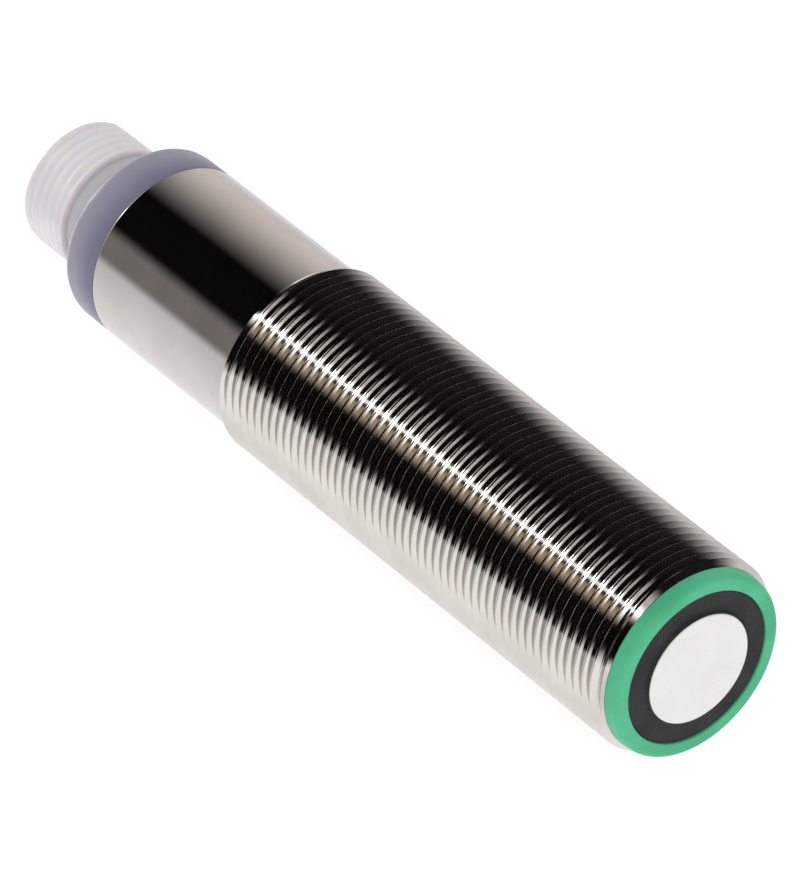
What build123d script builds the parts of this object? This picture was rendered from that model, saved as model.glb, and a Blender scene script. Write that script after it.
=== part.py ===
from build123d import *
import os
from math import radians, sin

os.makedirs("parts", exist_ok=True)

# A cylindrical ultrasonic sensor, in millimetres. The sound leaves along +X, and +Z is up.
# The origin is on the axis, at the middle of the long mounting thread.
# A station is a distance behind the front plane of the cap's rim, counted towards the plug.

# Sleeve: one turned and plated brass tube, threaded M18 x 1 over its front stretch
sleeve_length = 69.0
sleeve_thread_size = 18.0
sleeve_thread_allowance = 0.06
sleeve_thread_length = 50.2
sleeve_thread_depth = 0.6
sleeve_thread_chamfer = 0.52
sleeve_wall = 0.87
sleeve_end_chamfer = 0.18

# Cap: the green moulding round the face, with a skirt that goes into the sleeve
rim_length = 1.3
rim_draft = 0.15
rim_rounding = 0.5
skirt_wall = 0.45
skirt_step = 1.2
skirt_land = 1.5
skirt_lead_in = 0.4
pocket_depth = 8.0
groove_wall = 1.1
groove_length = 3.5

# Sound stack: matching disc, piezo ceramic and the foams round and behind them
foam_width = 1.94
disc_thickness = 3.4
disc_proud = 0.2
piezo_inset = 0.2
piezo_thickness = 2.0
foam_recess = 0.15

# Flats that draw a turned rounding
rounding_flats = 3

# Fits and seals
slide_gap = 0.05
glue_gap = 0.03
seal_gap = 0.02
cap_seal_section = 0.9

# Leads from the ceramic to the board
lead_diameter = 0.6
lead_spacing = 4.0
lead_tail = 2.5

# Boards
board_thickness = 1.0
board_corner_radius = 0.6
plug_board_thickness = 0.8
plug_board_margin = 0.7
tongue_width = 2.6
tongue_spacing = 5.6
film_thickness = 0.15

# Drive transformer: a ferrite core with three legs, wound round the middle one
transformer_length = 6.4
transformer_height = 4.6
transformer_depth = 3.2
core_leg = 0.9
core_post = 1.8
winding_corner = 0.6

# Moulded chips with leads
amplifier_width = 3.9
amplifier_lead_count = 7
driver_lead_count = 4
wide_lead_spacing = 1.27
processor_lead_count = 8
processor_corner = 0.3
fine_lead_spacing = 0.8
chip_height = 1.4
chip_lead_length = 1.0
lead_frame_thickness = 0.2
mould_bevel = 0.18
regulator_length = 6.5
regulator_width = 3.5
regulator_lead_spacing = 2.3
transistor_length = 2.9
transistor_width = 1.3
transistor_height = 1.0
transistor_lead_spacing = 1.9
transistor_lead_length = 0.55

# Other parts on the main board
capacitor_length = 7.3
capacitor_width = 4.3
capacitor_height = 2.8
diode_length = 4.6
diode_width = 3.6
diode_height = 2.3
crystal_length = 5.0
crystal_width = 3.2
crystal_height = 1.1
crystal_step = 0.5
crystal_corner = 0.7
chip_part_length = 2.0
chip_part_width = 1.25
chip_part_height = 0.7
chip_part_column_count = 3
chip_part_spacing = 5.0

# Status lights, on the back of the plug board
light_count = 4
light_length = 1.6
light_width = 1.2
light_height = 0.4
light_lens_inset = 0.3
light_margin = 2.2
light_air_gap = 0.5

# Light ring: closes the sleeve's back end
ring_length = 4.7
ring_inset = 0.02
ring_rounding = 1.5
ring_spigot_length = 2.5
ring_thread_gap = 0.1

# Plug: a stepped moulding with an M12 x 1 collar and a keyed cavity for the socket
plug_length = 9.1
plug_thread_size = 12.0
plug_thread_allowance = 0.12
plug_thread_length = 6.0
plug_thread_chamfer = 0.5
plug_neck_depth = 0.54
plug_wall = 1.2
plug_mouth_chamfer = 0.25
plug_cavity_depth = 8.7
plug_flange_length = 1.5
key_width = 1.3
key_depth = 0.7
key_setback = 1.2

# Contacts: four on a circle and one on the axis
pin_diameter = 1.0
pin_circle = 5.2
pin_setback = 0.9
pin_gap = 0.02
tail_standout = 0.4

# Radii that follow from the sizes above
thread_radius = (sleeve_thread_size - sleeve_thread_allowance) / 2
plain_radius = thread_radius - sleeve_thread_depth
bore_radius = plain_radius - sleeve_wall
skirt_radius = bore_radius - slide_gap
pocket_radius = skirt_radius - skirt_wall
skirt_hole_radius = pocket_radius - skirt_step
seal_groove_radius = bore_radius - cap_seal_section - 2 * seal_gap
disc_radius = pocket_radius - foam_width - 2 * glue_gap
plug_thread_radius = (plug_thread_size - plug_thread_allowance) / 2
ring_hole_radius = plug_thread_radius + ring_thread_gap
stem_radius = ring_hole_radius - slide_gap
rear_seal_section = bore_radius - stem_radius - 2 * seal_gap
neck_radius = plug_thread_radius - plug_neck_depth
cavity_radius = neck_radius - plug_wall
board_width = 2 * (skirt_radius - groove_wall - slide_gap)
board_top = board_thickness / 2

# Stations that follow
disc_back = disc_thickness - disc_proud
stack_back = disc_back + piezo_thickness
seal_groove_front = pocket_depth + skirt_land / 2
seal_groove_back = seal_groove_front + cap_seal_section + 2 * seal_gap
groove_front = seal_groove_back + skirt_land
skirt_end = groove_front + groove_length
thread_end = rim_length + sleeve_thread_length
sleeve_back = rim_length + sleeve_length
ring_back = sleeve_back + ring_length
spigot_front = sleeve_back - ring_spigot_length
flange_back = spigot_front - rear_seal_section - 2 * seal_gap
flange_front = flange_back - plug_flange_length
plug_back = ring_back + plug_length
collar_front = plug_back - plug_thread_length
cavity_floor = plug_back - plug_cavity_depth
light_back = flange_front - light_air_gap
plug_board_back = light_back - 2 * light_height
plug_board_front = plug_board_back - plug_board_thickness
board_front = groove_front + slide_gap
lead_end = board_front + lead_tail
origin_station = rim_length + sleeve_thread_length / 2

ON_BOARD = (Align.CENTER, Align.CENTER, Align.MIN)


def at(station):
    """The X of a place this far behind the rim's front plane."""
    return origin_station - station


def outline(corners):
    """A closed outline with straight sides. A rounding leaves its corner's two sides at
    that distance from the corner, and is drawn as flats on the curve between them."""
    places = [Vector(at(corner[0]), corner[1]) for corner in corners]
    line = []
    for index, place in enumerate(places):
        rounding = corners[index][2] if len(corners[index]) > 2 else 0
        if not rounding:
            line.append(place)
            continue
        after = places[(index + 1) % len(places)]
        start = place + (places[index - 1] - place).normalized() * rounding
        end = place + (after - place).normalized() * rounding
        for step in range(rounding_flats + 1):
            share = step / rounding_flats
            toward = start + (place - start) * share
            onward = place + (end - place) * share
            line.append(toward + (onward - toward) * share)
    return make_face(Polyline(*line, close=True).edges())


def turned(*corners):
    """A solid turned about the axis from its half section.

    Each corner is a station and a radius, and may have a rounding as its third value.
    """
    return revolve(outline(corners), Axis.X)


def rod(front, back, radius, y=0, z=0):
    """A plain cylinder along the axis between two stations."""
    middle = at((front + back) / 2)
    return Pos(middle, y, z) * Rot(0, 90, 0) * Cylinder(radius, back - front)


def block(front, back, width, height, y=0, z=0):
    """A plain block between two stations, centred on y and z."""
    return Pos(at((front + back) / 2), y, z) * Box(back - front, width, height)


def seal(front, section, outer_radius):
    """An O-ring that fills its seat, drawn with a square section."""
    back = front + section
    return rod(front, back, outer_radius) - rod(front, back, outer_radius - section)


def make_sleeve():
    chamfer_radius = thread_radius - sleeve_thread_chamfer
    return turned(
        (rim_length, bore_radius),
        (rim_length, chamfer_radius),
        (rim_length + sleeve_thread_chamfer, thread_radius),
        (thread_end - sleeve_thread_depth / 2, thread_radius),
        (thread_end, plain_radius),
        (sleeve_back - sleeve_end_chamfer, plain_radius),
        (sleeve_back, plain_radius - sleeve_end_chamfer),
        (sleeve_back, bore_radius),
    )


def make_cap():
    """The rim lies against the sleeve's front end. The skirt behind it holds the sound
    stack in a pocket, carries an O-ring, and grips the board's edges in two grooves."""
    rim_back_radius = thread_radius - sleeve_thread_chamfer
    cap = turned(
        (0, pocket_radius),
        (0, rim_back_radius - rim_draft, rim_rounding),
        (rim_length, rim_back_radius),
        (rim_length, skirt_radius),
        (seal_groove_front, skirt_radius),
        (seal_groove_front, seal_groove_radius),
        (seal_groove_back, seal_groove_radius),
        (seal_groove_back, skirt_radius),
        (skirt_end - skirt_lead_in, skirt_radius),
        (skirt_end, skirt_radius - skirt_lead_in / 2),
        (skirt_end, skirt_hole_radius),
        (pocket_depth, skirt_hole_radius),
        (pocket_depth, pocket_radius),
    )
    width = board_width + 2 * slide_gap
    return cap - block(groove_front, skirt_end, width, board_thickness + 2 * slide_gap)


def make_disc():
    return rod(-disc_proud, disc_back, disc_radius)


def make_piezo():
    return rod(disc_back, stack_back, disc_radius - piezo_inset)


def make_decoupling_ring():
    outside = rod(foam_recess, stack_back, pocket_radius - glue_gap)
    return outside - rod(foam_recess, stack_back, disc_radius + glue_gap)


def lead_sides():
    """The leads run side by side, to the left and right of the axis."""
    return (-lead_spacing / 2, lead_spacing / 2)


def lead_height():
    """The leads' height, at which their ends lie on the board's top."""
    return board_top + lead_diameter / 2


def make_backing():
    """A foam plug with one flat slot, through which both leads pass."""
    foam = rod(stack_back, pocket_depth, pocket_radius - glue_gap)
    height = lead_diameter + 2 * slide_gap
    return foam - block(stack_back, pocket_depth, lead_spacing + height, height, z=lead_height())


def make_lead(side):
    """A stiff lead from the back of the ceramic, through the foam, to the board's top."""
    return rod(stack_back, lead_end, lead_diameter / 2, side, lead_height())


def tongue_sides():
    return (-tongue_spacing / 2, tongue_spacing / 2)


def pin_places():
    """The y and z of each contact: the circle's four first, then the one on the axis."""
    off_axis = pin_circle / 2 * sin(radians(45))
    places = [(y * off_axis, z * off_axis) for z in (1, -1) for y in (1, -1)]
    places.append((0.0, 0.0))
    return places


def make_main_board():
    """A long board whose front edge sits in the cap's grooves and whose two tongues go
    through the plug board. A notch between the tongues clears the middle contact."""
    length = plug_board_front - board_front
    outline = RectangleRounded(length, board_width, board_corner_radius)
    middle = at((board_front + plug_board_front) / 2)
    board = Pos(middle, 0, -board_top) * extrude(outline, board_thickness)
    for side in tongue_sides():
        root = plug_board_front - board_corner_radius
        board += block(root, plug_board_back, tongue_width, board_thickness, side)
    notch_front = plug_board_front - 2 * tail_standout
    notch_width = pin_diameter + 4 * slide_gap
    return board - block(notch_front, plug_board_front, notch_width, board_thickness)


def make_plug_board():
    board = rod(plug_board_front, plug_board_back, bore_radius - plug_board_margin)
    for side in tongue_sides():
        width = tongue_width + 2 * slide_gap
        height = board_thickness + 2 * slide_gap
        board -= block(plug_board_front, plug_board_back, width, height, side)
    for y, z in pin_places():
        hole_radius = pin_diameter / 2 + slide_gap
        board -= rod(plug_board_front, plug_board_back, hole_radius, y, z)
    return board


def make_film():
    """A thin insulating tube against the bore, from the cap's skirt to the plug's flange."""
    front = skirt_end + slide_gap
    back = flange_front - slide_gap
    inside = rod(front, back, skirt_radius - film_thickness)
    return rod(front, back, skirt_radius) - inside


def make_light_ring():
    """The shoulder lies against the sleeve's back end, and the spigot centres the ring."""
    outer_radius = plain_radius - ring_inset
    wall = outer_radius - ring_hole_radius
    return turned(
        (spigot_front, ring_hole_radius),
        (spigot_front, skirt_radius),
        (sleeve_back, skirt_radius),
        (sleeve_back, outer_radius),
        (ring_back, outer_radius, min(ring_rounding, 0.9 * wall)),
        (ring_back, ring_hole_radius),
    )


def make_plug():
    """A flange and a stem inside the sleeve, then the neck and the threaded collar, whose
    cavity has a floor with holes for the contacts and a key that codes the socket."""
    plug = turned(
        (flange_front, 0),
        (flange_front, skirt_radius),
        (flange_back, skirt_radius),
        (flange_back, stem_radius),
        (ring_back, stem_radius),
        (ring_back, neck_radius),
        (collar_front, neck_radius),
        (collar_front + plug_neck_depth / 2, plug_thread_radius),
        (plug_back - plug_thread_chamfer, plug_thread_radius),
        (plug_back, plug_thread_radius - plug_thread_chamfer),
        (plug_back, cavity_radius + plug_mouth_chamfer),
        (plug_back - plug_mouth_chamfer, cavity_radius),
        (cavity_floor, cavity_radius),
        (cavity_floor, 0),
    )
    key_root = cavity_radius + plug_wall / 2
    key_tip = cavity_radius - key_depth
    key_middle = (key_root + key_tip) / 2
    key_back = plug_back - key_setback
    plug += block(cavity_floor, key_back, key_width, key_root - key_tip, z=key_middle)
    for y, z in pin_places():
        plug -= rod(flange_front, cavity_floor, pin_diameter / 2 + pin_gap, y, z)
    return plug


def make_pin(y, z):
    """A straight contact, whose tail stands out of the plug board."""
    tail = plug_board_front - tail_standout
    return rod(tail, plug_back - pin_setback, pin_diameter / 2, y, z)


def make_light(number):
    """A flat package with a raised window that faces the plug's flange."""
    turn = number * 360 / light_count
    window_width = light_width - light_lens_inset
    window_length = light_length - light_lens_inset
    package_back = plug_board_back + light_height
    package = block(plug_board_back, package_back, light_width, light_length)
    window = block(package_back, light_back, window_width, window_length)
    return Rot(turn, 0, 0) * Pos(0, bore_radius - light_margin, 0) * (package + window)


def gull_lead(width, reach, root_height):
    """One lead of a chip, along +Y: it leaves the package's side and slopes to its toe."""
    thick = lead_frame_thickness
    profile = Polyline(
        (-thick, root_height),
        (reach, 0),
        (reach - 2 * thick, 0),
        (-thick, root_height - thick),
        close=True,
    )
    face = Plane.YZ * make_face(profile.edges())
    return Pos(-width / 2) * extrude(face, width)


def leaded_chip(length, width, height, reach, rows):
    """A moulded chip that stands on z = 0. Each row of leads is the side it is on, as a
    turn in degrees, with its count, its pitch and the width of a lead."""
    stand_off = lead_frame_thickness / 2
    body = Pos(0, 0, stand_off) * Box(length, width, height - stand_off, align=ON_BOARD)
    body = chamfer(body.edges().group_by(Axis.Z)[-1], mould_bevel)
    for turn, count, pitch, lead_width in rows:
        side = (length if turn in (90, 270) else width) / 2
        lead = gull_lead(lead_width, reach, height / 2)
        for number in range(count):
            along = (number - (count - 1) / 2) * pitch
            body += Rot(0, 0, turn) * Pos(along, side) * lead
    return body


def make_amplifier():
    lead_row = (amplifier_lead_count, wide_lead_spacing, wide_lead_spacing / 3)
    rows = [(turn, *lead_row) for turn in (0, 180)]
    length = amplifier_lead_count * wide_lead_spacing
    return leaded_chip(length, amplifier_width, chip_height, chip_lead_length, rows)


def make_driver():
    lead_row = (driver_lead_count, wide_lead_spacing, wide_lead_spacing / 3)
    rows = [(turn, *lead_row) for turn in (0, 180)]
    length = driver_lead_count * wide_lead_spacing
    return leaded_chip(length, amplifier_width, chip_height, chip_lead_length, rows)


def processor_size():
    return processor_lead_count * fine_lead_spacing + 2 * processor_corner


def make_processor():
    lead_row = (processor_lead_count, fine_lead_spacing, fine_lead_spacing / 2)
    rows = [(turn, *lead_row) for turn in (0, 90, 180, 270)]
    size = processor_size()
    return leaded_chip(size, size, chip_height, chip_lead_length, rows)


def make_regulator():
    """Three leads on one side, and one wide tab on the other that carries the heat away."""
    rows = [
        (0, 3, regulator_lead_spacing, regulator_lead_spacing / 3),
        (180, 1, regulator_lead_spacing, regulator_length / 2),
    ]
    return leaded_chip(regulator_length, regulator_width, chip_height, chip_lead_length, rows)


def make_small_transistor():
    rows = [
        (0, 2, transistor_lead_spacing, transistor_lead_spacing / 4),
        (180, 1, transistor_lead_spacing, transistor_lead_spacing / 4),
    ]
    return leaded_chip(
        transistor_length, transistor_width, transistor_height, transistor_lead_length, rows
    )


def core_window():
    """Length and height of each of the core's two windows."""
    length = (transformer_length - core_post) / 2 - core_leg
    return length, transformer_height - 2 * core_leg


def make_transformer_core():
    """Ferrite with two windows side by side, which leave a leg at each end and a post
    between them."""
    window_length, window_height = core_window()
    profile = Pos(0, transformer_height / 2) * Rectangle(transformer_length, transformer_height)
    for side in (-1, 1):
        middle = side * (core_post + window_length) / 2
        window = Rectangle(window_length, window_height)
        profile -= Pos(middle, transformer_height / 2) * window
    core = extrude(Plane.XZ * profile, transformer_depth)
    return Pos(0, transformer_depth / 2, 0) * core


def make_winding():
    """Wire wound round the core's post: it fills the windows and stands out front and back."""
    window_length, window_height = core_window()
    wire = window_length - 2 * slide_gap
    hole_length = core_post + 2 * slide_gap
    hole_width = transformer_depth + 2 * slide_gap
    height = window_height - 2 * slide_gap
    wound = Box(hole_length + 2 * wire, hole_width + 2 * wire, height, align=ON_BOARD)
    wound = chamfer(wound.edges().filter_by(Axis.Z), winding_corner)
    wound -= Box(hole_length, hole_width, height, align=ON_BOARD)
    return Pos(0, 0, core_leg + slide_gap) * wound


def two_strap_part(length, width, height):
    """A moulded block with a metal strap down each end, folded in under it."""
    strap = lead_frame_thickness
    body = Pos(0, 0, strap / 2) * Box(length - 2 * strap, width, height - strap / 2, align=ON_BOARD)
    body = chamfer(body.edges().group_by(Axis.Z)[-1], mould_bevel)
    for end in (-1, 1):
        upright = Pos(end * (length - strap) / 2)
        body += upright * Box(strap, width / 2, height / 2, align=ON_BOARD)
        foot = Pos(end * length * 3 / 8)
        body += foot * Box(length / 4, width / 2, strap, align=ON_BOARD)
    return body


def make_crystal():
    """A flat metal can with bevelled corners on a thin base."""
    base_height = crystal_height / 4
    base = Box(crystal_length, crystal_width, base_height, align=ON_BOARD)
    lid = Box(
        crystal_length - crystal_step,
        crystal_width - crystal_step,
        crystal_height - base_height,
        align=ON_BOARD,
    )
    lid = chamfer(lid.edges().filter_by(Axis.Z), crystal_corner)
    return base + Pos(0, 0, base_height) * lid


def make_chip_part():
    """A ceramic chip whose metal ends are a little larger than its middle."""
    end_length = chip_part_length / 5
    waist = chip_part_width * 0.9
    waist_height = chip_part_height * 0.9
    part = Box(chip_part_length - end_length, waist, waist_height, align=ON_BOARD)
    for end in (-1, 1):
        middle = end * (chip_part_length - end_length) / 2
        part += Pos(middle) * Box(end_length, chip_part_width, chip_part_height, align=ON_BOARD)
    return part


def spread(lengths, front, back):
    """Stations of a row of parts, with equal gaps between them and at both ends."""
    gap = (back - front - sum(lengths)) / (len(lengths) + 1)
    stations = []
    edge = front + gap
    for length in lengths:
        stations.append(edge + length / 2)
        edge += length + gap
    return stations


def on_top(part, station, y=0):
    return Pos(at(station), y, board_top) * part


def underneath(part, station, y=0):
    return Pos(at(station), y, -board_top) * Rot(180, 0, 0) * part


def parts_on_top():
    """The signal side of the board, from the face back towards the plug."""
    row = {
        "temperature_probe": transistor_length,
        "transformer_core": transformer_length,
        "echo_amplifier": amplifier_lead_count * wide_lead_spacing,
        "processor": processor_size() + 2 * chip_lead_length,
        "clock_crystal": crystal_length,
        "storage_capacitor": capacitor_length,
    }
    places = dict(zip(row, spread(row.values(), lead_end, plug_board_front)))
    transformer_place = places["transformer_core"]
    storage = two_strap_part(capacitor_length, capacitor_width, capacitor_height)
    return {
        "temperature_probe": on_top(make_small_transistor(), places["temperature_probe"]),
        "transformer_core": on_top(make_transformer_core(), transformer_place),
        "transformer_winding": on_top(make_winding(), transformer_place),
        "echo_amplifier": on_top(make_amplifier(), places["echo_amplifier"]),
        "processor": on_top(make_processor(), places["processor"]),
        "clock_crystal": on_top(make_crystal(), places["clock_crystal"]),
        "storage_capacitor": on_top(storage, places["storage_capacitor"]),
    }


def parts_underneath():
    """The power side of the board, in the same order."""
    lengths = [transistor_length]
    lengths += [chip_part_length] * chip_part_column_count
    lengths += [driver_lead_count * wide_lead_spacing, regulator_length, diode_length]
    places = spread(lengths, groove_front + groove_length, plug_board_front)
    driver_place, regulator_place, diode_place = places[-3:]
    diode = two_strap_part(diode_length, diode_width, diode_height)
    parts = {
        "drive_transistor": underneath(make_small_transistor(), places[0]),
        "output_driver": underneath(make_driver(), driver_place),
        "voltage_regulator": underneath(make_regulator(), regulator_place),
        "surge_diode": underneath(diode, diode_place),
    }
    for column in range(chip_part_column_count):
        for row, side in enumerate((-1, 1)):
            name = f"chip_part_{2 * column + row + 1}"
            y = side * chip_part_spacing / 2
            parts[name] = underneath(make_chip_part(), places[1 + column], y)
    return parts


pieces = {
    "threaded_sleeve": make_sleeve(),
    "front_cap": make_cap(),
    "cap_seal": seal(seal_groove_front + seal_gap, cap_seal_section, bore_radius - seal_gap),
    "matching_disc": make_disc(),
    "piezo_disc": make_piezo(),
    "decoupling_ring": make_decoupling_ring(),
    "backing_foam": make_backing(),
    "main_board": make_main_board(),
    "plug_board": make_plug_board(),
    "insulating_film": make_film(),
    "rear_seal": seal(flange_back + seal_gap, rear_seal_section, bore_radius - seal_gap),
    "light_ring": make_light_ring(),
    "plug_body": make_plug(),
}
pieces.update(parts_on_top())
pieces.update(parts_underneath())
for number, side in enumerate(lead_sides(), start=1):
    pieces[f"transducer_lead_{number}"] = make_lead(side)
for number in range(light_count):
    pieces[f"status_light_{number + 1}"] = make_light(number)
for number, (y, z) in enumerate(pin_places(), start=1):
    pieces[f"contact_pin_{number}"] = make_pin(y, z)

for name, piece in pieces.items():
    export_step(piece, f"parts/{name}.step")
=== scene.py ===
"""The looks of a cylindrical ultrasonic sensor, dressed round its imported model.

Lengths in the tables below are millimetres and MM makes them metres. A station is a
distance behind the front plane of the cap's rim, as it is in the part's own source.
"""
import math

import bmesh
import bpy
import numpy as np
from mathutils import Matrix, Vector


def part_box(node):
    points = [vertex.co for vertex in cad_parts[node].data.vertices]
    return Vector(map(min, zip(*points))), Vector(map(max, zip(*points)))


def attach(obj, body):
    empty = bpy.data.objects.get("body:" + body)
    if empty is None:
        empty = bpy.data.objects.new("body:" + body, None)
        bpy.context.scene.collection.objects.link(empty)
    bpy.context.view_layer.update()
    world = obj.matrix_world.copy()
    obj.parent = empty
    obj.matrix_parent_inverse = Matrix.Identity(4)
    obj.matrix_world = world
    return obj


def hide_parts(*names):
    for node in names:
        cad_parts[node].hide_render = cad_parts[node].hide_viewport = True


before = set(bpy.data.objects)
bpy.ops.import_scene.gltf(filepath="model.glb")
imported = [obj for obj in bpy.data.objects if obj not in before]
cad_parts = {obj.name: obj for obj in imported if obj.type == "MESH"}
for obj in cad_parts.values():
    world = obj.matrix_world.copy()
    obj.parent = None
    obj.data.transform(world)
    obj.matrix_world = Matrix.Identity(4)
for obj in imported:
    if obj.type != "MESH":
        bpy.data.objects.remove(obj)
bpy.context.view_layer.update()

MM = 0.001
RIM_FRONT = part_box("front_cap")[1].x / MM
FLOOR_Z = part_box("threaded_sleeve")[0].z

# Sleeve, M18 x 1 over its front stretch
SLEEVE_FRONT, THREAD_END, SLEEVE_BACK = 1.3, 51.7, 70.3
THREAD_RADIUS, PLAIN_RADIUS, BORE_RADIUS = 8.97, 8.37, 7.5
THREAD_CHAMFER, RUN_OUT_SLOPE = 0.52, 3
PITCH = 1.0
FIRST_CREST = 0.692        # pitches behind the thread's front end, at +Y
FIT_RADIUS = 7.45          # of the skirt, spigot and flange that sit in the bore

# Cap, with its pocket in front, its O-ring groove and the board's slot behind
RIM_RADIUS, RIM_BACK_RADIUS = 8.3, 8.45
POCKET_RADIUS, POCKET_FLOOR = 7.0, 8.0
GROOVE_FRONT, GROOVE_BACK, GROOVE_RADIUS = 8.75, 9.69, 6.56
SKIRT_BACK, SKIRT_BORE = 14.69, 5.8
SLOT_FRONT, SLOT_HALF_WIDTH, SLOT_HALF_HEIGHT = 11.19, 6.35, 0.55

# Matching disc, and the foam ring with its lip
DISC_FRONT, DISC_BACK, DISC_RADIUS = -0.2, 3.2, 5.0
LIP_FRONT, FOAM_FRONT, FOAM_BACK = -0.12, 0.15, 5.2
FOAM_HOLE, LIP_RADIUS, FOAM_RADIUS = 5.03, 5.1, 6.97

# Light ring and plug, M12 x 1
RING_BACK, PLUG_BACK = 75.0, 84.1
RING_RADIUS, RING_HOLE = 8.35, 6.04
SPIGOT_FRONT, FLANGE_BACK, FLANGE_FRONT = 67.8, 66.29, 64.79
PLUG_RADIUS, STEM_RADIUS, NECK_RADIUS, CAVITY_RADIUS = 5.94, 5.99, 5.4, 4.2
COLLAR_FRONT, CAVITY_FLOOR, PLUG_CHAMFER = 78.1, 75.4, 0.5
KEY_HALF_WIDTH, KEY_HEIGHT, KEY_LENGTH = 0.65, 3.5, 7.5
PIN_RADIUS, PIN_TIP, PIN_PLAY = 0.5, 83.2, 0.01

CREASE = math.radians(40)  # edges sharper than this stay sharp in the shading
WELD = 0.0002              # points closer than this become one
HAIR = 1e-6                # metres, or millimetres on a line: too little to see


# ---- Shapes ----

def outline(*corners):
    """A line of stations and radii through the corners. A corner's third value is the
    radius of the arc that rounds it, tangent to both of its sides, in steps of 15 degrees
    or less."""
    places = np.array([corner[:2] for corner in corners], float)
    line = []
    for index, corner in enumerate(corners):
        place = places[index]
        radius = corner[2] if len(corner) > 2 else 0
        if not radius:
            line.append(place)
            continue
        before = places[index - 1] - place
        after = places[(index + 1) % len(places)] - place
        before /= np.linalg.norm(before)
        after /= np.linalg.norm(after)
        half = math.acos(np.clip(before @ after, -1, 1)) / 2
        middle = (before + after) / np.linalg.norm(before + after)
        centre = place + middle * radius / math.sin(half)
        sweep = math.pi / 2 - half
        steps = max(2, math.ceil(2 * sweep / math.radians(15)))
        side = np.array([-middle[1], middle[0]])
        side *= np.sign(side @ before)
        turns = np.linspace(sweep, -sweep, steps + 1)[:, None]
        line.extend(centre - radius * (middle * np.cos(turns) - side * np.sin(turns)))
    return np.array(line)


def turned_points(stations, radii, angles):
    """Points round the X axis: x is the rim's front less the station, y and z are the
    radius times the angle's cosine and sine. The arrays are columns by points."""
    angles = np.asarray(angles)[:, None]
    x = RIM_FRONT - stations + 0 * angles
    return np.stack([x, radii * np.cos(angles), radii * np.sin(angles)], -1)


def grid_faces(columns, rows, closed):
    """Four-cornered faces between neighbouring columns, and from the last row back to the
    first where the section is closed."""
    column = np.arange(columns - 1)[:, None] * rows
    row = np.arange(rows if closed else rows - 1)[None, :]
    after = (row + 1) % rows
    corners = [column + row, column + rows + row, column + rows + after, column + after]
    return np.stack(corners, -1).reshape(-1, 4)


def placed(name, data):
    """A new object in the scene, for a mesh, a lamp or a camera."""
    thing = bpy.data.objects.new(name, data)
    bpy.context.scene.collection.objects.link(thing)
    return thing


def build(name, points, closed=True):
    """A welded mesh object, still in millimetres, from a grid of points, columns by rows.
    Points that coincide, at the seam, at a pole and where a thread runs out, become one."""
    columns, rows = points.shape[:2]
    mesh = bpy.data.meshes.new(name)
    faces = grid_faces(columns, rows, closed)
    mesh.from_pydata(points.reshape(-1, 3).tolist(), [], faces.tolist())
    shape = bmesh.new()
    shape.from_mesh(mesh)
    bmesh.ops.remove_doubles(shape, verts=shape.verts, dist=WELD)
    bmesh.ops.recalc_face_normals(shape, faces=shape.faces)
    shape.to_mesh(mesh)
    shape.free()
    mesh.polygons.foreach_set("use_smooth", np.ones(len(mesh.polygons), bool))
    mesh.set_sharp_from_angle(angle=CREASE)
    return placed(name, mesh)


def shaped(piece):
    """The piece's mesh with its modifiers carried out."""
    graph = bpy.context.evaluated_depsgraph_get()
    piece.data = bpy.data.meshes.new_from_object(piece.evaluated_get(graph))
    piece.modifiers.clear()
    return piece.data


def dress(piece, material, slot, *nodes):
    """Finishes a piece: large faces lead the shading of the small roundings between them,
    millimetres become metres, and it gets its material and stands in for CAD nodes."""
    modifier = piece.modifiers.new("even shading", "WEIGHTED_NORMAL")
    modifier.keep_sharp = True
    shaped(piece).transform(Matrix.Scale(MM, 4))
    piece.data.materials.append(material)
    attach(piece, "root")
    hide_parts(*nodes)
    return piece


def turned(name, line, columns=192, closed=True):
    """A piece turned from its half section: the line of stations and radii, carried round
    the axis in even steps."""
    angles = np.linspace(0, 2 * math.pi, columns + 1)
    return build(name, turned_points(line[None, :, 0], line[None, :, 1], angles), closed)


def thread_section(slope, crest_flat, crest_round, depth):
    """One pitch of a thread, from a root over the crest to the next root, as shares of the
    pitch and drops from the crest. Flanks at that slope, in degrees, join the crest's
    rounding to the root's, whose radius follows from the depth."""
    slope = math.radians(slope)
    rise = 1 - math.cos(slope) - math.sin(slope) * math.tan(slope)
    both = (depth - math.tan(slope) * (PITCH - crest_flat) / 2) / rise
    root_round = both - crest_round
    turns = np.array([0, 1]) * slope
    crest_x = crest_flat / 2 + crest_round * np.sin(turns)
    crest_drop = crest_round * (1 - np.cos(turns))
    turns = np.array([1, 2 / 3, 1 / 3]) * slope
    root_x = PITCH / 2 - root_round * np.sin(turns)
    root_drop = depth - root_round * (1 - np.cos(turns))
    side_x = np.concatenate([crest_x, root_x])
    side_drop = np.concatenate([crest_drop, root_drop])
    shares = np.concatenate([[-PITCH / 2], -side_x[::-1], side_x]) / PITCH
    return shares, np.concatenate([[depth], side_drop[::-1], side_drop])


def threaded_line(section, front, back, radius, front_radius, back_radius, limit, angles):
    """Stations and radii of a helical thread, one row of them for each angle.

    The section repeats along the axis and moves forward one pitch in a turn from +Y over
    +Z, which makes the thread right-handed. Its radius is the thread's or the limit's,
    whichever is less. Rows that would pass an end lie on it, at that end's own radius.
    """
    shares, drops = section
    turns = math.ceil((back - front) / PITCH) + 2
    steps = (np.arange(turns)[:, None] + shares[None, :]).ravel()
    turned_by = angles[:, None] / (2 * math.pi)
    stations = front + PITCH * (steps[None, :] - 1 + FIRST_CREST - turned_by)
    radii = radius - np.tile(drops, turns)[None, :] + 0 * stations
    radii = np.minimum(radii, limit(stations))
    radii = np.where(stations <= front + HAIR, front_radius, radii)
    radii = np.where(stations >= back - HAIR, back_radius, radii)
    return np.clip(stations, front, back), radii


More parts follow.
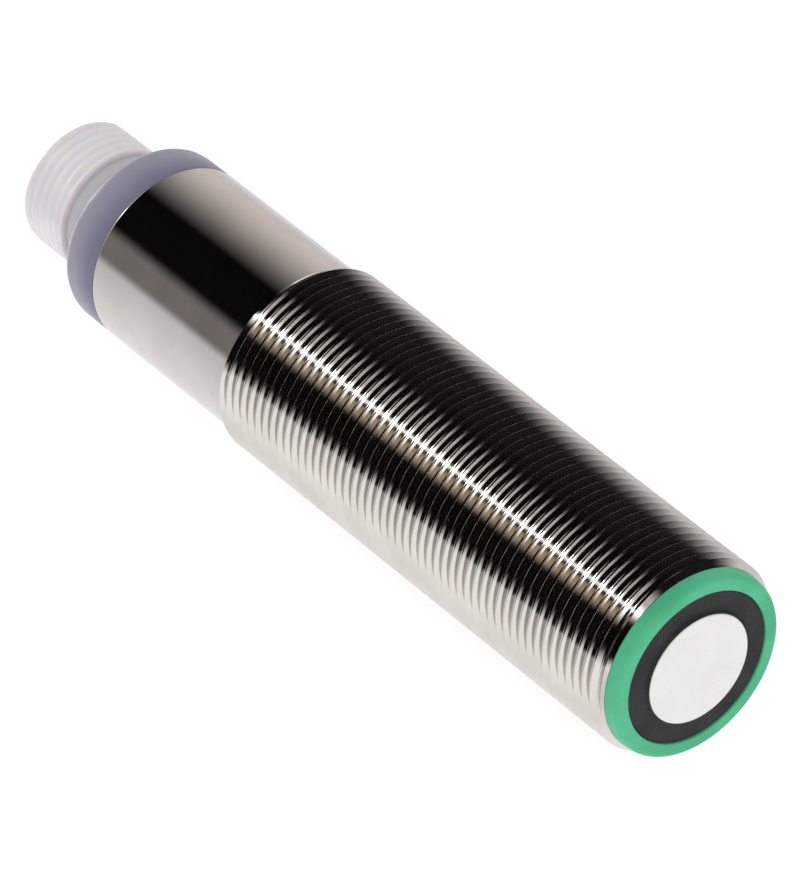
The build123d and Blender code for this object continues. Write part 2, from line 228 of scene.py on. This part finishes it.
def beside(stations, radii, line):
    """A thread's stations and radii with one more line after each row, the same on all."""
    count = len(stations)
    more = np.broadcast_to(line, (count, *line.shape))
    return (
        np.concatenate([stations, more[..., 0]], 1),
        np.concatenate([radii, more[..., 1]], 1),
    )


def carve(piece, *cutters):
    """Takes the cutters' room out of a piece, and removes the cutters."""
    for cutter in cutters:
        cut = piece.modifiers.new("cut", "BOOLEAN")
        cut.operation = "DIFFERENCE"
        cut.solver = "EXACT"
        cut.object = cutter
    shaped(piece).set_sharp_from_angle(angle=CREASE)
    for cutter in cutters:
        bpy.data.objects.remove(cutter)


def box_cutter(low, high):
    """A block between two corners."""
    low, high = Vector(low), Vector(high)
    shape = bmesh.new()
    bmesh.ops.create_cube(shape, size=1)
    bmesh.ops.scale(shape, verts=shape.verts, vec=high - low)
    bmesh.ops.translate(shape, verts=shape.verts, vec=(high + low) / 2)
    mesh = bpy.data.meshes.new("cutter")
    shape.to_mesh(mesh)
    shape.free()
    return placed("cutter", mesh)


# ---- Finishes ----

class Flow:
    """A value in a node tree, which plain arithmetic turns into Math nodes."""

    def __init__(self, tree, socket):
        self.tree = tree
        self.socket = socket

    def math(self, operation, *others):
        node = self.tree.nodes.new("ShaderNodeMath")
        node.operation = operation
        for socket, value in zip(node.inputs, (self, *others)):
            if isinstance(value, Flow):
                self.tree.links.new(value.socket, socket)
            else:
                socket.default_value = value
        return Flow(self.tree, node.outputs[0])

    def __add__(self, other):
        return self.math("ADD", other)

    def __sub__(self, other):
        return self.math("SUBTRACT", other)

    def __mul__(self, other):
        return self.math("MULTIPLY", other)

    def __neg__(self):
        return self.math("MULTIPLY", -1)

    def rest(self):
        """One less this value."""
        return -self + 1

    def over(self, low, high):
        """0 below low, 1 above high, and a smooth step between them."""
        node = self.tree.nodes.new("ShaderNodeMapRange")
        node.interpolation_type = "SMOOTHSTEP"
        node.inputs["From Min"].default_value = low
        node.inputs["From Max"].default_value = high
        self.tree.links.new(self.socket, node.inputs["Value"])
        return Flow(self.tree, node.outputs[0])

    def between(self, rise, fall):
        """1 from the end of the rise to the start of the fall, each a smooth step."""
        return self.over(*rise) * self.over(*fall).rest()


def axes(tree, vector):
    """The three parts of a vector socket."""
    node = tree.nodes.new("ShaderNodeSeparateXYZ")
    tree.links.new(vector, node.inputs[0])
    return [Flow(tree, socket) for socket in node.outputs]


def colour_mix(tree, tone_and_shade, first, second):
    """The first colour where the share is 0, the second where it is 1. Each is a colour or
    a socket."""
    node = tree.nodes.new("ShaderNodeMix")
    node.data_type = "RGBA"
    tree.links.new(tone_and_shade.socket, node.inputs[0])
    for socket, value in ((node.inputs[6], first), (node.inputs[7], second)):
        if isinstance(value, tuple):
            socket.default_value = (*value, 1)
        else:
            tree.links.new(value, socket)
    return node.outputs[2]


class Finish:
    """A procedural material on Object coordinates, built up one trait at a time."""

    def __init__(self, name, constants=()):
        self.material = bpy.data.materials.new(name)
        self.material.use_nodes = True
        self.tree = self.material.node_tree
        self.shader = self.tree.nodes["Principled BSDF"]
        for socket, value in constants:
            self.shader.inputs[socket].default_value = value
        place = self.tree.nodes.new("ShaderNodeTexCoord")
        self.place = place.outputs["Object"]
        self.x, self.y, self.z = axes(self.tree, self.place)
        self.height = None

    def radius(self):
        """Distance from the sensor's axis."""
        return (self.y * self.y + self.z * self.z).math("SQRT")

    def grain(self, kind, scale, stretch=(1, 1, 1), detail=3):
        """A pattern between 0 and 1, of that many features a metre. Stretch multiplies
        them along each axis."""
        mapping = self.tree.nodes.new("ShaderNodeMapping")
        mapping.inputs["Scale"].default_value = stretch
        self.tree.links.new(self.place, mapping.inputs["Vector"])
        if kind == "cells":
            node = self.tree.nodes.new("ShaderNodeTexVoronoi")
            output = node.outputs["Distance"]
        else:
            node = self.tree.nodes.new("ShaderNodeTexNoise")
            node.inputs["Detail"].default_value = detail
            output = node.outputs[0]
        node.inputs["Scale"].default_value = scale
        self.tree.links.new(mapping.outputs[0], node.inputs["Vector"])
        return Flow(self.tree, output)

    def colour(self, tone_and_shade, first, second):
        """Mixes two colours by a share, and returns the mix."""
        return colour_mix(self.tree, tone_and_shade, first, second)

    def fed(self, name):
        """What feeds one of the shader's sockets so far."""
        return self.shader.inputs[name].links[0].from_socket

    def paint(self, socket):
        """Feeds the shader's base colour."""
        self.tree.links.new(socket, self.shader.inputs["Base Color"])
        return self

    def set(self, name, flow):
        """Drives one of the shader's numbers with a value that varies over the surface."""
        self.tree.links.new(flow.socket, self.shader.inputs[name])
        return self

    def bump(self, flow, depth):
        """Raises the surface by the value times a depth in millimetres."""
        node = self.tree.nodes.new("ShaderNodeBump")
        node.inputs["Distance"].default_value = depth * MM
        self.tree.links.new(flow.socket, node.inputs["Height"])
        if self.height:
            self.tree.links.new(self.height, node.inputs["Normal"])
        self.height = node.outputs[0]
        self.tree.links.new(self.height, self.shader.inputs["Normal"])
        return self


METAL = (("Metallic", 1.0),)


def translucent(weight, depth):
    """Sockets of a finish that light enters: how much of it, and how deep in millimetres."""
    return ("Subsurface Weight", weight), ("Subsurface Scale", depth * MM)


def nickel():
    """Bright nickel plating on turned brass: fine lathe lines and an uneven lustre."""
    made = Finish("bright nickel", METAL)
    clouds = made.grain("noise", 260)
    lines = made.grain("noise", 500, (22, 1, 1), 2)
    made.paint(made.colour(clouds.over(0.35, 0.65), (0.64, 0.615, 0.585), (0.68, 0.655, 0.625)))
    made.set("Roughness", clouds * 0.03 + lines * 0.03 + 0.05)
    made.bump(lines, 0.0002)
    return made.bump(made.grain("noise", 1400), 0.0006).material


def green_moulding():
    """Satin green moulding with a fine spark-eroded grain and soft flow marks."""
    made = Finish("green moulding", (*translucent(0.08, 0.4), ("Specular IOR Level", 0.3)))
    flow = made.grain("noise", 180, (1, 1, 2))
    made.paint(made.colour(flow.over(0.3, 0.7), (0.06, 0.43, 0.215), (0.085, 0.5, 0.27)))
    made.set("Roughness", made.grain("noise", 900) * 0.14 + 0.36)
    made.bump(made.grain("noise", 5200), 0.006)
    return made.material


def white_epoxy():
    """Matt white filled epoxy: tiny filler grains and faint grinding marks."""
    made = Finish("white epoxy", translucent(0.1, 0.3))
    specks = made.grain("cells", 2600).over(0.04, 0.3)
    clouds = made.grain("noise", 330)
    shade = made.colour(clouds.over(0.3, 0.7), (0.79, 0.79, 0.775), (0.83, 0.83, 0.82))
    made.paint(made.colour(specks, (0.77, 0.77, 0.755), shade))
    made.set("Roughness", clouds * 0.15 + 0.5)
    made.bump(made.grain("noise", 900, (1, 14, 1)), 0.003)
    return made.bump(specks, 0.004).material


def black_foam():
    """Matt charcoal foam with fine closed cells."""
    made = Finish("black foam")
    cells = made.grain("cells", 4200)
    clouds = made.grain("noise", 420)
    shade = made.colour(clouds.over(0.3, 0.7), (0.018, 0.018, 0.021), (0.028, 0.028, 0.031))
    made.paint(made.colour(cells.over(0.1, 0.6), (0.012, 0.012, 0.014), shade))
    made.set("Roughness", cells * 0.2 + 0.68)
    return made.bump(cells, 0.03).material


def blue_grey_moulding():
    """Translucent blue-grey moulding with painted shade: darker beside the metal sleeve, paler
    to the rear.
    """
    made = Finish("blue-grey moulding", (*translucent(0.35, 0.9), ("Specular IOR Level", 0.2)))
    back = (-made.x + (RIM_FRONT - SLEEVE_BACK) * MM) * (1 / MM)
    cloud = made.grain("noise", 240)
    # Painted shade: darker next to the metal sleeve and paler towards the rear, mixed with
    # random clouds of tone.
    tone_and_shade = (back * 0.3 + cloud * 0.5 - 0.25).over(0, 1)
    made.paint(made.colour(tone_and_shade, (0.185, 0.183, 0.265), (0.32, 0.31, 0.38)))
    made.set("Roughness", cloud * 0.12 + 0.26)
    return made.bump(made.grain("noise", 3000), 0.003).material


def milky_moulding():
    """Milky translucent moulding with faint clouds and a satin skin, and painted shade that
    darkens it where its radius is small: in the neck, the thread's roots and the cavity.
    """
    made = Finish("milky moulding", (*translucent(0.5, 1.2), ("Specular IOR Level", 0.3)))
    cloud = made.grain("noise", 300)
    pale = made.colour(cloud.over(0.3, 0.7), (0.72, 0.705, 0.72), (0.79, 0.775, 0.79))
    # Painted shade: darker where the radius is small, in the neck, the thread's roots and the
    # cavity.
    root = (made.radius() * (1 / MM)).over(NECK_RADIUS, PLUG_RADIUS)
    made.paint(made.colour(root, (0.56, 0.55, 0.57), pale))
    made.set("Roughness", cloud * 0.12 + 0.3)
    return made.bump(made.grain("noise", 2600), 0.004).material


def gold():
    """Hard gold over nickel on turned pins."""
    made = Finish("gold plating", METAL)
    clouds = made.grain("noise", 900)
    made.paint(made.colour(clouds.over(0.3, 0.7), (0.8, 0.56, 0.2), (0.88, 0.66, 0.28)))
    made.set("Roughness", clouds * 0.15 + 0.16)
    return made.bump(made.grain("noise", 900, (14, 1, 1)), 0.002).material


def rubber():
    """Matt black rubber with a moulded skin."""
    made = Finish("seal rubber")
    clouds = made.grain("noise", 700)
    made.paint(made.colour(clouds.over(0.3, 0.7), (0.012, 0.012, 0.012), (0.024, 0.024, 0.024)))
    made.set("Roughness", clouds * 0.2 + 0.5)
    return made.bump(made.grain("noise", 4000), 0.006).material


def plain_grain(name, first, second, roughness, scale=600, depth=0.006, constants=()):
    """Two close shades in clouds, a roughness that varies with them, and a fine grain."""
    made = Finish(name, constants)
    clouds = made.grain("noise", scale)
    made.paint(made.colour(clouds.over(0.3, 0.7), first, second))
    made.set("Roughness", clouds * 0.2 + (roughness - 0.1))
    return made.bump(made.grain("noise", scale * 6), depth)


def outside(made, centre, half):
    """1 outside a block and 0 inside it, in metres."""
    parts = [
        (part - middle).math("ABSOLUTE") - reach
        for part, middle, reach in zip((made.x, made.y, made.z), centre, half)
    ]
    return parts[0].math("MAXIMUM", parts[1]).math("MAXIMUM", parts[2]).over(-HAIR, HAIR)


def with_metal(made, mask):
    """Bare tinned metal wherever the mask is 1: leads, straps and ends."""
    colour = (0.62, 0.6, 0.56)
    made.paint(made.colour(mask, made.fed("Base Color"), colour))
    made.set("Metallic", mask)
    made.set("Roughness", Flow(made.tree, made.fed("Roughness")) * (mask * -0.5 + 1))
    return made.material


def node_block(name, inset):
    """Centre and half size of a CAD node's box, drawn in by an inset on each axis."""
    low, high = (np.array(corner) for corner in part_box(name))
    return (low + high) / 2, (high - low) / 2 - np.array(inset) * MM


WHOLE = -1                 # an inset that takes the block past its node on that axis
MOULD_BLACK = (0.022, 0.022, 0.023), (0.034, 0.034, 0.034)


def chip(name, inset):
    """Black mould compound, with tinned leads where they leave the package."""
    made = plain_grain(f"mould of {name}", *MOULD_BLACK, 0.55)
    return with_metal(made, outside(made, *node_block(name, inset)))


def strapped(name, first, second):
    """A moulded body with tinned straps down its ends."""
    made = plain_grain(f"mould of {name}", first, second, 0.5)
    return with_metal(made, outside(made, *node_block(name, (0.21, WHOLE, WHOLE))))


def ceramic_chip(name):
    """Sintered ceramic with tinned ends a fifth of its length."""
    made = plain_grain(f"ceramic of {name}", (0.36, 0.28, 0.2), (0.46, 0.37, 0.27), 0.45)
    return with_metal(made, outside(made, *node_block(name, (0.4, WHOLE, WHOLE))))


def board_laminate(node, axis):
    """Lacquered green laminate: copper tracks show through as paler lines, and the cut
    edges, all that lies between the two faces across the axis, are bare and yellowish."""
    made = Finish("board laminate", (("Coat Weight", 0.4), ("Coat Roughness", 0.12)))
    tracks = made.grain("cells", 420, (0.35, 1, 0.2)).over(0.42, 0.44)
    clouds = made.grain("noise", 500)
    lacquer = made.colour(clouds, (0.008, 0.09, 0.035), (0.012, 0.13, 0.05))
    face = made.colour(tracks, lacquer, (0.03, 0.2, 0.08))
    low, high = (corner[axis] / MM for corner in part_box(node))
    across = (made.x, made.y, made.z)[axis] * (1 / MM) - (low + high) / 2
    half = (high - low) / 2
    edge = across.math("ABSOLUTE").over(half - 0.006, half - 0.003).rest()
    made.paint(made.colour(edge, face, (0.33, 0.3, 0.12)))
    made.set("Roughness", clouds * 0.15 + 0.25)
    return made.bump(tracks, 0.02).material


def winding_wire():
    """Enamelled copper wire in close turns: ridges stacked along the post."""
    made = plain_grain("enamelled copper", (0.42, 0.15, 0.05), (0.58, 0.24, 0.09), 0.3)
    ridges = (made.z * (2 * math.pi / (0.25 * MM))).math("SINE").math("ABSOLUTE")
    made.shader.inputs["Metallic"].default_value = 0.9
    return made.bump(ridges, 0.05).material


def lead_wire():
    """Red insulation on the leads, and tinned wire for the last millimetres."""
    made = plain_grain("wire insulation", (0.42, 0.02, 0.016), (0.52, 0.035, 0.025), 0.4)
    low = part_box("transducer_lead_1")[0].x
    return with_metal(made, (made.x - (low + 2.2 * MM)).over(-HAIR, HAIR).rest())


def light_window():
    """A white package with a clear, slightly yellow window towards the plug."""
    made = plain_grain("light package", (0.76, 0.75, 0.7), (0.84, 0.83, 0.78), 0.4)
    middle = sum(corner.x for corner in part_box("status_light_1")) / 2
    window = (made.x - middle).over(-HAIR, HAIR).rest()
    glass = made.colour(window, made.fed("Base Color"), (0.82, 0.78, 0.45))
    return made.paint(glass).material


# ---- Pieces ----

def front_limit(stations):
    """The lesser of two cones' radii: the 45 degree chamfer at the sleeve's front, and the
    steeper one on which its thread ends."""
    front = THREAD_RADIUS - THREAD_CHAMFER + (stations - SLEEVE_FRONT)
    back = PLAIN_RADIUS + RUN_OUT_SLOPE * (THREAD_END - stations)
    return np.minimum(front, back)


def make_sleeve():
    """The thread is a section with flanks at 60 degrees to the axis, carried round a helix.
    After it come the plain stretch, the rear edge, the bore and the front face, on the
    same columns."""
    angles = np.linspace(0, 2 * math.pi, 129)
    section = thread_section(
        slope=60, crest_flat=0.01, crest_round=0.025, depth=THREAD_RADIUS - PLAIN_RADIUS
    )
    stations, radii = threaded_line(
        section, SLEEVE_FRONT, THREAD_END, THREAD_RADIUS,
        THREAD_RADIUS - THREAD_CHAMFER, PLAIN_RADIUS, front_limit, angles,
    )
    rest = outline(
        (THREAD_END + 0.1, PLAIN_RADIUS),
        (SLEEVE_BACK, PLAIN_RADIUS, 0.16),
        (SLEEVE_BACK, BORE_RADIUS, 0.1),
        (SLEEVE_FRONT, BORE_RADIUS),
        (SLEEVE_FRONT, (BORE_RADIUS + THREAD_RADIUS) / 2),
    )
    stations, radii = beside(stations, radii, rest)
    piece = build("sleeve", turned_points(stations, radii, angles))
    return dress(piece, nickel(), "plated_brass", "threaded_sleeve")


def make_cap():
    """The green rim and skirt turned in one, then cut across for the board's front edge."""
    piece = turned("cap", outline(
        (0, POCKET_RADIUS, 0.12),
        (0, RIM_RADIUS, 0.5),
        (SLEEVE_FRONT, RIM_BACK_RADIUS, 0.06),
        (SLEEVE_FRONT, FIT_RADIUS),
        (GROOVE_FRONT, FIT_RADIUS, 0.1),
        (GROOVE_FRONT, GROOVE_RADIUS, 0.1),
        (GROOVE_BACK, GROOVE_RADIUS, 0.1),
        (GROOVE_BACK, FIT_RADIUS, 0.1),
        (SKIRT_BACK - 0.4, FIT_RADIUS),
        (SKIRT_BACK, FIT_RADIUS - 0.2),
        (SKIRT_BACK, SKIRT_BORE, 0.1),
        (POCKET_FLOOR, SKIRT_BORE),
        (POCKET_FLOOR, POCKET_RADIUS, 0.1),
    ))
    carve(piece, box_cutter(
        (RIM_FRONT - SKIRT_BACK - 0.11, -SLOT_HALF_WIDTH, -SLOT_HALF_HEIGHT),
        (RIM_FRONT - SLOT_FRONT, SLOT_HALF_WIDTH, SLOT_HALF_HEIGHT),
    ))
    return dress(piece, green_moulding(), "green_plastic", "front_cap")


def make_face():
    """The matching disc, proud by a fifth of a millimetre, and the foam ring round it, which
    climbs the disc's side in a small lip."""
    disc = turned("matching_face", outline(
        (DISC_FRONT, 0),
        (DISC_FRONT, DISC_RADIUS, 0.12),
        (DISC_BACK, DISC_RADIUS),
        (DISC_BACK, 0),
    ), closed=False)
    dress(disc, white_epoxy(), "white_epoxy", "matching_disc")
    ring = turned("foam_ring", outline(
        (LIP_FRONT, FOAM_HOLE),
        (LIP_FRONT, LIP_RADIUS, 0.04),
        (FOAM_FRONT, LIP_RADIUS + 0.15, 0.1),
        (FOAM_FRONT, FOAM_RADIUS, 0.1),
        (FOAM_BACK, FOAM_RADIUS),
        (FOAM_BACK, FOAM_HOLE),
    ))
    dress(ring, black_foam(), "black_foam", "decoupling_ring")


def make_seals():
    """Two O-rings, round in section where they are free and flat where they seat: turned
    squares, with corners rounded by about a third of their side."""
    for name, node in (("skirt_seal", "cap_seal"), ("flange_seal", "rear_seal")):
        low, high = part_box(node)
        section = (high.x - low.x) / MM
        front = RIM_FRONT - high.x / MM
        outer = high.y / MM
        round_corner = section * 0.35
        piece = turned(name, outline(
            (front, outer - section, round_corner),
            (front, outer, round_corner),
            (front + section, outer, round_corner),
            (front + section, outer - section, round_corner),
        ))
        dress(piece, rubber(), "seal_rubber", node)


def make_ring():
    """The status lights' ring, with its broad rear rounding and its spigot."""
    piece = turned("light_band", outline(
        (SPIGOT_FRONT, RING_HOLE, 0.15),
        (SPIGOT_FRONT, FIT_RADIUS, 0.2),
        (SLEEVE_BACK, FIT_RADIUS),
        (SLEEVE_BACK, RING_RADIUS, 0.1),
        (RING_BACK, RING_RADIUS, 1.5),
        (RING_BACK, RING_HOLE, 0.2),
    ))
    return dress(piece, blue_grey_moulding(), "blue_grey_plastic", "light_ring")


def plug_limit(stations):
    """The lesser of two cones' radii: a short taper where the collar starts, and the 45
    degree chamfer at its end."""
    front = NECK_RADIUS + 2 * (stations - COLLAR_FRONT)
    back = PLUG_RADIUS - PLUG_CHAMFER + (PLUG_BACK - stations)
    return np.minimum(front, back)


def make_plug():
    """Collar thread on a helix, then mouth, cavity with its key, flange, stem and neck. The
    key is where the cavity's wall, on the columns within the key's angle, comes in to a
    flat: the key's height over the sine of the column's angle. A column on either side of
    each edge, hardly apart, makes the key's sides."""
    key_edge = math.asin(KEY_HALF_WIDTH / KEY_HEIGHT)
    up = math.pi / 2
    apart = 1e-4           # radians
    edges = [up - key_edge - apart, up - key_edge, up + key_edge, up + key_edge + apart]
    inside = np.linspace(up - key_edge, up + key_edge, 9)[1:-1]
    angles = np.linspace(0, 2 * math.pi, 161)
    angles = angles[np.abs(angles - up) > key_edge + 0.01]
    angles = np.sort(np.concatenate([angles, edges, inside]))
    section = thread_section(slope=25, crest_flat=0.1, crest_round=0.25, depth=0.13)
    stations, radii = threaded_line(
        section, COLLAR_FRONT, PLUG_BACK, PLUG_RADIUS,
        NECK_RADIUS, PLUG_RADIUS - PLUG_CHAMFER, plug_limit, angles,
    )
    key_wall = CAVITY_RADIUS - 0.001
    line = outline(
        (PLUG_BACK, CAVITY_RADIUS, 0.2),
        (CAVITY_FLOOR + KEY_LENGTH, CAVITY_RADIUS),
        (CAVITY_FLOOR + KEY_LENGTH, key_wall),
        (CAVITY_FLOOR, key_wall),
        (CAVITY_FLOOR, 0),
    )
    front = outline(
        (FLANGE_FRONT, 0),
        (FLANGE_FRONT, FIT_RADIUS, 0.15),
        (FLANGE_BACK, FIT_RADIUS, 0.15),
        (FLANGE_BACK, STEM_RADIUS),
        (RING_BACK, STEM_RADIUS),
        (RING_BACK, NECK_RADIUS),
        (COLLAR_FRONT - 0.05, NECK_RADIUS),
    )
    stations, radii = beside(stations, radii, line)
    keyed = np.abs(angles - up) < key_edge + apart / 2
    key = (np.abs(radii - key_wall) < HAIR) & keyed[:, None]
    flat = KEY_HEIGHT / np.sin(np.where(keyed, angles, up))
    radii = np.where(key, flat[:, None], radii)
    stations, radii = beside(stations, radii, front)
    piece = build("plug", turned_points(stations, radii, angles))
    before, behind, hole = FLANGE_FRONT - 5, CAVITY_FLOOR + 5, PIN_RADIUS + PIN_PLAY
    bores = []
    for y, z in pin_places():
        line = outline((before, 0), (before, hole), (behind, hole), (behind, 0))
        bore = turned("bore", line, 32, closed=False)
        bore.data.transform(Matrix.Translation((0, y, z)))
        bores.append(bore)
    carve(piece, *bores)
    return dress(piece, milky_moulding(), "milky_plastic", "plug_body")


def pin_places():
    """Where the five contacts are, from their CAD nodes."""
    places = []
    for number in range(1, 6):
        low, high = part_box(f"contact_pin_{number}")
        places.append(((low.y + high.y) / 2 / MM, (low.z + high.z) / 2 / MM))
    return places


def make_pins():
    """Five turned contacts with domed noses, each moved to its own place."""
    finish = gold()
    tail = RIM_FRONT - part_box("contact_pin_1")[1].x / MM
    for number, (y, z) in enumerate(pin_places(), start=1):
        line = outline(
            (tail, 0), (tail, PIN_RADIUS, 0.12), (PIN_TIP, PIN_RADIUS, 0.42), (PIN_TIP, 0)
        )
        piece = turned(f"contact_{number}", line, 48, closed=False)
        piece.data.transform(Matrix.Translation((0, y, z)))
        dress(piece, finish, "gold_plating", f"contact_pin_{number}")


def paint_inside():
    """Finishes for the CAD nodes that keep their own shapes."""
    foam = plain_grain(
        "backing foam", (0.05, 0.05, 0.055), (0.08, 0.08, 0.085), 0.85, 900, 0.03
    )
    piezo = plain_grain("silvered ceramic", (0.62, 0.6, 0.55), (0.7, 0.68, 0.63), 0.4, 700)
    edge = (piezo.radius() * (1 / MM)).over(4.7, 4.78)
    piezo.paint(piezo.colour(edge, piezo.fed("Base Color"), (0.5, 0.42, 0.27)))
    film = plain_grain(
        "amber film", (0.6, 0.36, 0.08), (0.68, 0.44, 0.12), 0.2, 300, 0.002,
        (("Alpha", 0.6),),
    )
    ferrite = plain_grain(
        "ferrite", (0.035, 0.035, 0.038), (0.06, 0.06, 0.064), 0.6, 1200, 0.01
    )
    can = plain_grain(
        "crystal can", (0.55, 0.54, 0.5), (0.66, 0.65, 0.61), 0.3, 500, 0.003, METAL
    )
    leads_at_sides = (WHOLE, 0.97, WHOLE)
    small_leads_at_sides = (WHOLE, 0.53, WHOLE)
    finishes = {
        "piezo_disc": piezo.material,
        "backing_foam": foam.material,
        "main_board": board_laminate("main_board", 2),
        "plug_board": board_laminate("plug_board", 0),
        "insulating_film": film.material,
        "transformer_core": ferrite.material,
        "transformer_winding": winding_wire(),
        "clock_crystal": can.material,
        "processor": chip("processor", (0.97, 0.97, WHOLE)),
        "storage_capacitor": strapped(
            "storage_capacitor", (0.6, 0.36, 0.04), (0.7, 0.45, 0.06)
        ),
        "surge_diode": strapped("surge_diode", *MOULD_BLACK),
    }
    for name in ("echo_amplifier", "output_driver", "voltage_regulator"):
        finishes[name] = chip(name, leads_at_sides)
    for name in ("temperature_probe", "drive_transistor"):
        finishes[name] = chip(name, small_leads_at_sides)
    for number in range(1, 7):
        finishes[f"chip_part_{number}"] = ceramic_chip(f"chip_part_{number}")
    wire = lead_wire()
    window = light_window()
    for number in (1, 2):
        finishes[f"transducer_lead_{number}"] = wire
    for number in range(1, 5):
        finishes[f"status_light_{number}"] = window
    for name, material in finishes.items():
        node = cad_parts[name]
        node.data.materials.clear()
        node.data.materials.append(material)


# ---- Studio ----

def make_floor():
    """A wide pale floor, six metres each way. Most of its white is its own, so the shadow
    on it stays faint."""
    side = np.array([-3.0, 3.0])
    x, y = np.meshgrid(side, side, indexing="ij")
    points = np.stack([x, y, np.full_like(x, FLOOR_Z)], -1)
    mesh = bpy.data.meshes.new("floor")
    mesh.from_pydata(points.reshape(-1, 3).tolist(), [], grid_faces(2, 2, False).tolist())
    floor = placed("floor", mesh)
    material = bpy.data.materials.new("pale floor")
    material.use_nodes = True
    tree = material.node_tree
    shader = tree.nodes["Principled BSDF"]
    shader.inputs["Base Color"].default_value = (0.2, 0.2, 0.2, 1)
    shader.inputs["Roughness"].default_value = 1.0
    shader.inputs["Specular IOR Level"].default_value = 0.0
    shader.inputs["Emission Color"].default_value = (1, 1, 1, 1)
    shader.inputs["Emission Strength"].default_value = 0.9
    mesh.materials.append(material)
    floor.visible_glossy = False


def make_surroundings():
    """What the metal mirrors, as a function of direction, where x is ahead of the face, y
    the far side and z up: a white floor, a warm wall behind the far side, a grey card
    behind the near side, and dark between them. Overhead, near the plane where aside is 0,
    runs a narrow key light with a halo ahead of it, a warm patch on its near side and a
    glow round it at the front. A light far behind picks out the edges that face the rear.
    Matt surfaces get an even soft light instead, and the view past the floor is white."""
    world = bpy.data.worlds.new("studio")
    world.use_nodes = True
    world.cycles.sampling_method = "NONE"
    bpy.context.scene.world = world
    tree = world.node_tree
    place = tree.nodes.new("ShaderNodeTexCoord")
    x, y, z = axes(tree, place.outputs["Generated"])

    # Floor, with its horizon higher or lower by the direction round the sensor
    rear = x.over(-0.5, -0.25).rest()
    front = x.over(0.5, 0.75)
    behind = x.over(-0.86, -0.78).rest()
    far = y.over(-0.2, 0.2)
    white = z * -0.42 + 0.66
    rear_floor = (z - behind * 0.2).over(-0.16, 0.02).rest() * white * rear
    far_floor = (z - x.over(0, 0.5).rest() * 0.29).over(-0.195, 0.16).rest() * white * 1.06
    grey_edge = z.over(-0.13, -0.07).rest() * ((-z).over(0.1, 0.95) * 0.5 + 0.58)
    white_edge = (z + x.over(0.3, 1) * 0.36).over(0.02, 0.22).rest() * 1.16
    near_floor = grey_edge * front.rest() + white_edge * front
    floor = (far_floor * far + near_floor * far.rest()) * rear.rest()

    # Walls, which only the directions to the rear see
    above = z.over(-0.16, 0.02)
    wall = y.math("MAXIMUM", 0).math("POWER", 1.4) * 1.14 * rear * above
    card = (-y).over(0.35, 0.5) * z.over(0.28, 0.48).rest() * 0.22 * rear * above
    walls = wall + card

    # Key light and halo, the edge light, the warm patch and the glow
    aside = x * -0.062 + y * 0.856 + z * 0.516
    arch = x.over(-0.47, -0.42) * z.over(0, 0.05)
    off_strip = (aside + 0.022).math("ABSOLUTE")
    strip = off_strip.over(0.01, 0.037).rest() * arch * 2.6
    halo = off_strip.over(0.02, 0.13).rest() * x.over(-0.05, 0.45) * arch * 1.1
    edge = behind * aside.between((-0.328, -0.078), (0.172, 0.522))
    sparkle = edge * (aside - 0.052).math("ABSOLUTE").over(0.04, 0.08).rest() * 5
    key = strip + halo + edge * 1.6 + sparkle
    warm = aside.between((-0.404, -0.234), (-0.154, -0.094)) * x.over(-0.2, 0).rest()
    warm = warm * arch * 0.66
    glow = aside.between((-0.222, -0.102), (0.158, 0.348))
    glow = glow * x.over(0.25, 0.5) * z.over(0, 0.1) * 0.62
    dark = y.over(-0.1, 0.6) * rear.rest() * 0.011 + 0.003

    # Green and blue of each, as shares of its red
    tints = (
        (floor, 0.98, 0.965),
        (rear_floor, 0.965, 0.99),
        (walls, 0.91, 0.87),
        (key, 0.98, 0.97),
        (warm, 0.79, 0.54),
        (glow, 0.95, 0.88),
    )
    red = green = blue = dark
    for light, green_share, blue_share in tints:
        red = red + light
        green = green + light * green_share
        blue = blue + light * blue_share
    mirror = tree.nodes.new("ShaderNodeCombineColor")
    for flow, socket in zip((red, green, blue), mirror.inputs):
        tree.links.new(flow.socket, socket)

    rays = tree.nodes.new("ShaderNodeLightPath")
    glossy = Flow(tree, rays.outputs["Is Glossy Ray"])
    camera = Flow(tree, rays.outputs["Is Camera Ray"])
    seen = colour_mix(tree, glossy, (0.8, 0.8, 0.8), mirror.outputs[0])
    seen = colour_mix(tree, camera, seen, (1.0, 1.0, 1.0))
    tree.links.new(seen, tree.nodes["Background"].inputs["Color"])


def make_lamp():
    """A small soft lamp beside the camera, 0.6 m away, which lights the thread's
    roundings."""
    light = bpy.data.lights.new("studio lamp", "AREA")
    light.shape = "DISK"
    light.size = 0.08
    light.energy = 0.4
    light.color = (1, 0.97, 0.95)
    lamp = placed("studio lamp", light)
    towards = Vector((0.62, -0.36, 0.64)).normalized()
    lamp.location = towards * 0.6
    lamp.rotation_mode = "QUATERNION"
    lamp.rotation_quaternion = towards.to_track_quat("Z", "Y")
    lamp.visible_camera = False


def make_camera():
    """A long lens that looks down along the sensor, as the photograph does. The camera's
    place, and its right, down and forward directions, were fitted to the edges of the
    sleeve, ring and plug."""
    lens = bpy.data.cameras.new("camera")
    lens.lens = 316.6
    lens.clip_start, lens.clip_end = 0.05, 20
    camera = placed("camera", lens)
    right = Vector((0.60960, 0.79271, 0.0))
    down = Vector((0.47924, -0.36856, -0.79653))
    forward = Vector((-0.63144, 0.48556, -0.60460))
    turn = Matrix((right, -down, -forward)).transposed()
    camera.matrix_world = Matrix.LocRotScale(
        Vector((0.38976, -0.30912, 0.38431)), turn.to_quaternion(), None
    )
    bpy.context.scene.camera = camera
    bpy.context.scene.view_settings.view_transform = "Standard"


make_camera()
make_surroundings()
make_lamp()
make_floor()
make_sleeve()
make_cap()
make_face()
make_seals()
make_ring()
make_plug()
make_pins()
paint_inside()
